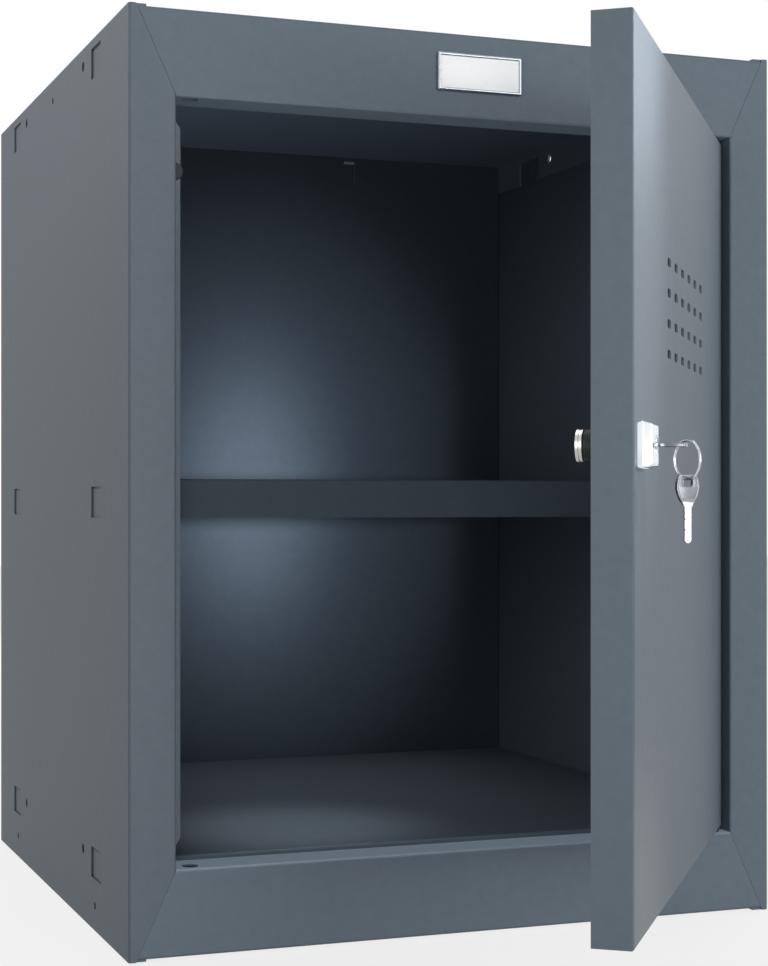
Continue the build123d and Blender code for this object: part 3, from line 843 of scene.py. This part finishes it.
def key_shape():
    """A key: a bow with a raised rim and a slot, a flared collar and a grooved blade."""
    rim = plate([bow_outline(0, RIM_FOOT), bow_outline(RIM_WIDTH, [])], BOW_THICKNESS, RIM_EDGE)
    core_outlines = [bow_outline(CORE_INSET, CORE_FOOT), slot_outline(EYE_OVERLAP)]
    core = plate(core_outlines, BOW_THICKNESS - CORE_SUNK, CORE_EDGE)
    eye = plate([slot_outline(EYE_WIDTH), slot_outline(0)], BOW_THICKNESS - EYE_SUNK, EYE_EDGE)
    stand = Matrix.Rotation(math.radians(90), 4, "X")
    key = joined(moved(rim, stand), moved(core, stand), moved(eye, stand), key_blade())
    bow = key.verts.layers.float.new(BOW_LAYER)
    for vert in key.verts:
        vert[bow] = 1.0 if vert.co.z > BOW_STARTS else 0.0
    return key


# Place along the blade, and depth
KEY_CUTS = ((3.2, 0.35), (5.6, 0.6), (8.0, 0.2), (10.4, 0.5), (12.8, 0.3))
CUT_SLOPE = 0.9
BLADE_LENGTH = 16.1
BLADE_HALF = 1.9
BLADE_THICK = 0.65
BLADE_TIP = 0.95
BLADE_EDGE = 0.15
BLADE_STEPS = 60
BLADE_IN_BOW = 0.1
BLADE_POINT = 0.1
GROOVE_DEPTH = 0.32
GROOVE_END = 15.0
GROOVE_SIDES = (-0.75, -0.6, 0.05, 0.2)


def blade_section(low, high, groove, height):
    """One outline of the blade: its two sides are the same, turned half round."""
    thick, edge = BLADE_THICK, BLADE_EDGE
    first, second, third, fourth = GROOVE_SIDES
    side = [(low + edge, -thick), (first, -thick), (second, -thick + groove), (third, -thick + groove),
            (fourth, -thick), (high - edge, -thick), (high, -thick + edge)]
    other = [(high, thick - edge), (high - edge, thick), (-first, thick), (-second, thick - groove),
             (-third, thick - groove), (-fourth, thick), (low + edge, thick), (low, thick - edge),
             (low, -thick + edge)]
    return [(x, y, height) for x, y in side + other]


def key_blade():
    """The blade: a groove along each side, shallow cuts along one edge and a pointed tip."""
    sections = []
    for i in range(BLADE_STEPS + 1):
        down = BLADE_LENGTH * i / BLADE_STEPS
        cut = max([0.0] + [depth - abs(down - place) * CUT_SLOPE for place, depth in KEY_CUTS])
        tip = max(0.0, down - (BLADE_LENGTH - BLADE_TIP))
        low, high = -BLADE_HALF + tip, BLADE_HALF - max(cut, tip)
        groove = GROOVE_DEPTH * min(1, max(0, GROOVE_END - down))
        height = BLADE_IN_BOW - down - (0 if i < BLADE_STEPS else BLADE_POINT)
        sections.append(blade_section(low, high, groove, height))
    return loft(sections, capped=True)


# The ring and where the keys are

# How far out of the door the ring's wire crosses the slot of the key in the lock
CROSSING = 17.35
# How far the ring's middle is below the crossing, and how far the ring is turned from straight out
RING_BELOW = 6.6
RING_TURN = 43.0
RING_MEAN = 8.7
RING_WIRE = 0.6
# Where the wire's two ends meet, half the gap between them in degrees, and how thick they end
RING_JOINT = 25
RING_GAP = 0.5
RING_END = 0.8
RING_STEPS = 120
WIRE_STEPS = 14
# Where the bow of the key in the lock meets its blade
KEY_OUT = 6.5
# From the wire's middle to the upper edge of the hung key's slot
HUNG_ROOM = 0.7


def at_ring():
    """The ring's frame: its X runs from the crossing to the ring's middle, and its Y is up."""
    turn = math.radians(RING_TURN)
    along = Vector((-math.sin(turn), 0, math.cos(turn)))
    up = Vector((0, 1, 0))
    return at_lock() @ frame_at(Vector((0, 0, CROSSING)), along, up, along.cross(up))


def ring_middle():
    return Vector((math.sqrt(RING_MEAN ** 2 - RING_BELOW ** 2), -RING_BELOW, 0))


def ring():
    """A bent wire ring whose two cut ends meet at the side away from the keys."""
    wire_turns = [2 * math.pi * j / WIRE_STEPS for j in range(WIRE_STEPS)]
    sections = []
    for i in range(RING_STEPS + 1):
        angle = math.radians(RING_JOINT + RING_GAP + (360 - 2 * RING_GAP) * i / RING_STEPS)
        wire = RING_WIRE * (RING_END if i in (0, RING_STEPS) else 1)
        out = Vector((math.cos(angle), math.sin(angle), 0))
        row = []
        for turn in wire_turns:
            away = RING_MEAN + wire * math.cos(turn)
            row.append(tuple(ring_middle() + out * away + UP * (wire * math.sin(turn))))
        sections.append(row)
    piece("wire_ring", moved(loft(sections, capped=True), at_ring()), "ring", "key_ring", crease=50)


def keys():
    """The key in the lock, and the spare key that hangs from the ring's lowest place."""
    in_lock = at_lock() @ Matrix.Translation((0, 0, KEY_OUT))
    piece("lock_key", moved(key_shape(), in_lock), "key", "key_in_lock")
    middle, slot_top = ring_middle(), SLOT_MIDDLE + SLOT_HALF[1]
    origin = Vector((middle.x, middle.y - RING_MEAN + HUNG_ROOM - slot_top, 0))
    hung = frame_at(origin, Vector((0, 0, 1)), Vector((1, 0, 0)), Vector((0, 1, 0)))
    piece("hung_key", moved(key_shape(), at_ring() @ hung), "spare", "spare_key")


# Blind rivets

RIVET_COUNT = 4
RIVET_HEAD = 3.2
RIVET_SEAT = 0.8
RIVET_STEPS = 32
# Radius and height over the sheet: the broken-off pin, the domed head and the shank
RIVET_PROFILE = (
    (0, 0.42), (0.78, 0.42), (0.86, 0.3), (0.98, 0.3), (1.08, 0.68), (1.3, 0.8), (1.9, 0.76),
    (2.5, 0.58), (2.95, 0.32), (3.18, 0.08), (3.2, 0.0), (1.6, 0.0), (1.6, -2.2), (0, -2.2),
)


def rivets():
    """Domed blind rivets, each with its broken-off pin in the middle."""
    low, high = (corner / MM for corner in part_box("back_rivets"))
    span = high.z - low.z - 2 * RIVET_HEAD
    heights = [low.z + RIVET_HEAD + span * i / (RIVET_COUNT - 1) for i in range(RIVET_COUNT)]
    shapes = []
    for x in (low.x + RIVET_HEAD, high.x - RIVET_HEAD):
        for z in heights:
            place = Vector((x, high.y - RIVET_SEAT, z))
            outward = frame_at(place, Vector((-1, 0, 0)), UP, Vector((0, 1, 0)))
            shapes.append(moved(lathe(RIVET_PROFILE, RIVET_STEPS), outward))
    piece("blind_rivets", joined(*shapes), "carcass", "back_rivets")


camera()
world()
floor()

for node, solid in frame["nodes"].items():
    solid.data.materials.clear()
    solid.data.materials.append(LOOKS[SLOTS[node]])

nameplate()
lock_front()
threaded_barrel()
barrel_nut()
cam_plate()
cam_nut()
keys()
ring()
rivets()
lights()

scene = bpy.context.scene
scene.view_settings.view_transform = "Standard"
